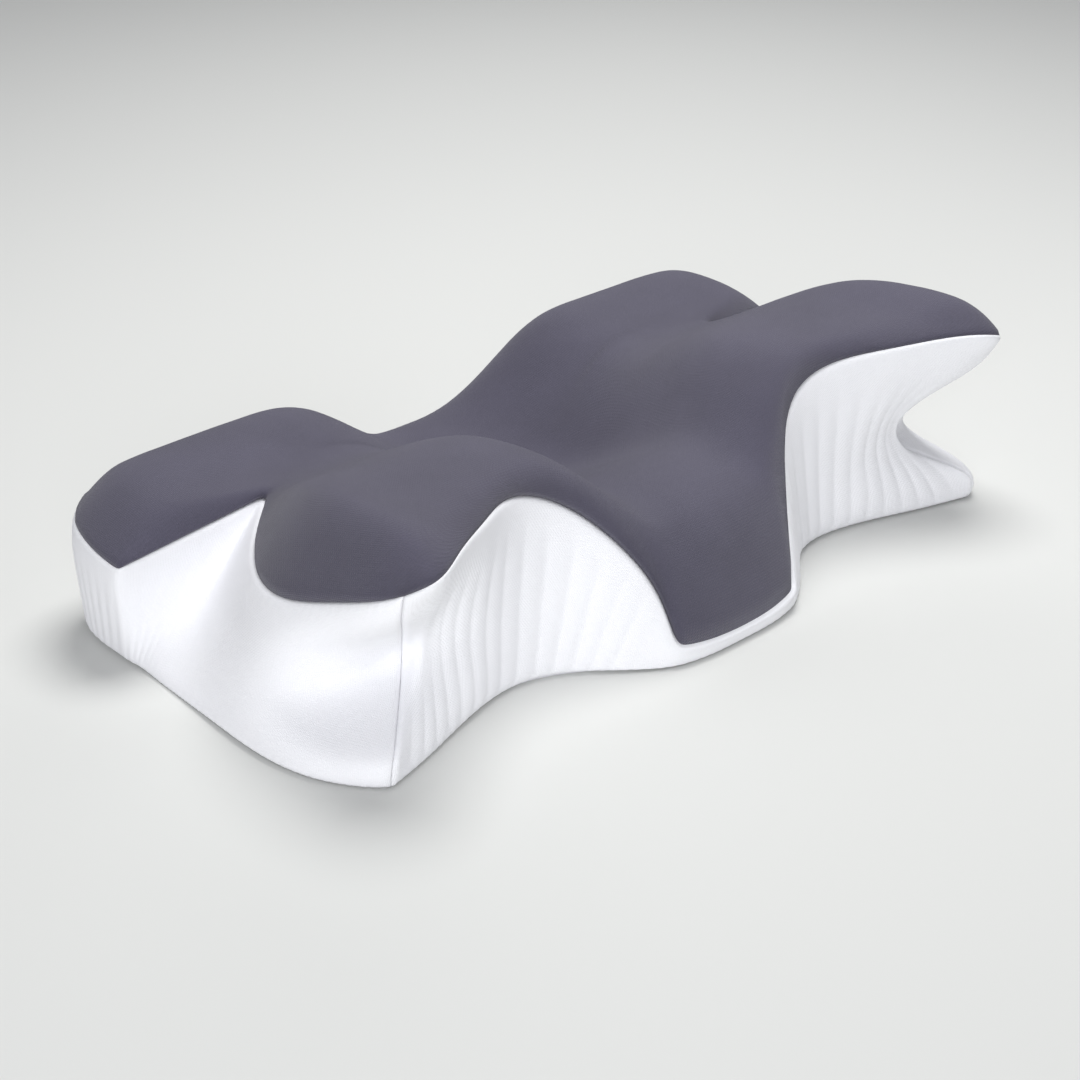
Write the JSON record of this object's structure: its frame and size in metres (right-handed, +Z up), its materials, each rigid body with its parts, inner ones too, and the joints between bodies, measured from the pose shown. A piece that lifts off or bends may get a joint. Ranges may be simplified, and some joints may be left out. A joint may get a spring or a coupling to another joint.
{
  "type": "contour neck pillow",
  "caption": "Butterfly-shaped contour pillow for the neck, with raised wings, a neck roll, a hollow for the head and a zip-off two-tone fabric cover over foam.",
  "frame": {"origin": "on the resting plane, under the middle of the pillow", "axes": "+X along the pillow's length to the side where the zip closes, +Y from the neck roll to the back edge, +Z up"},
  "size_m": [0.6068, 0.3314, 0.1527],
  "materials": {
    "top_fabric": "matte knit",
    "side_fabric": "matte knit",
    "foam": "open-cell foam",
    "zip_tape": "woven tape",
    "zip_coil": "nylon coil",
    "zip_metal": "satin"
  },
  "bodies": {
    "pillow": {"foam_core": "foam", "cover_top": "top_fabric", "cover_bottom": "side_fabric", "cover_front": "side_fabric", "cover_left": "side_fabric", "cover_right": "side_fabric", "cover_back_upper": "side_fabric", "cover_back_lower": "side_fabric", "zip_coil_upper": "zip_coil", "zip_coil_lower": "zip_coil", "zip_tape_upper": "zip_tape", "zip_tape_lower": "zip_tape", "zip_stop_left": "zip_metal", "zip_stop_right": "zip_metal"},
    "slider": {"zip_slider": "zip_metal"},
    "pull": {"zip_pull": "zip_metal"}
  },
  "joints": [
    {"name": "zip_travel", "type": "slide", "parent": "pillow", "child": "slider", "axis": [1, 0, 0], "range_m": [-0.32, 0]},
    {"name": "pull_hinge", "type": "hinge", "parent": "slider", "child": "pull", "pos_m": [0.16, 0.16385, 0.02], "axis": [0, 0, 1], "range_deg": [-175, 0]}
  ]
}
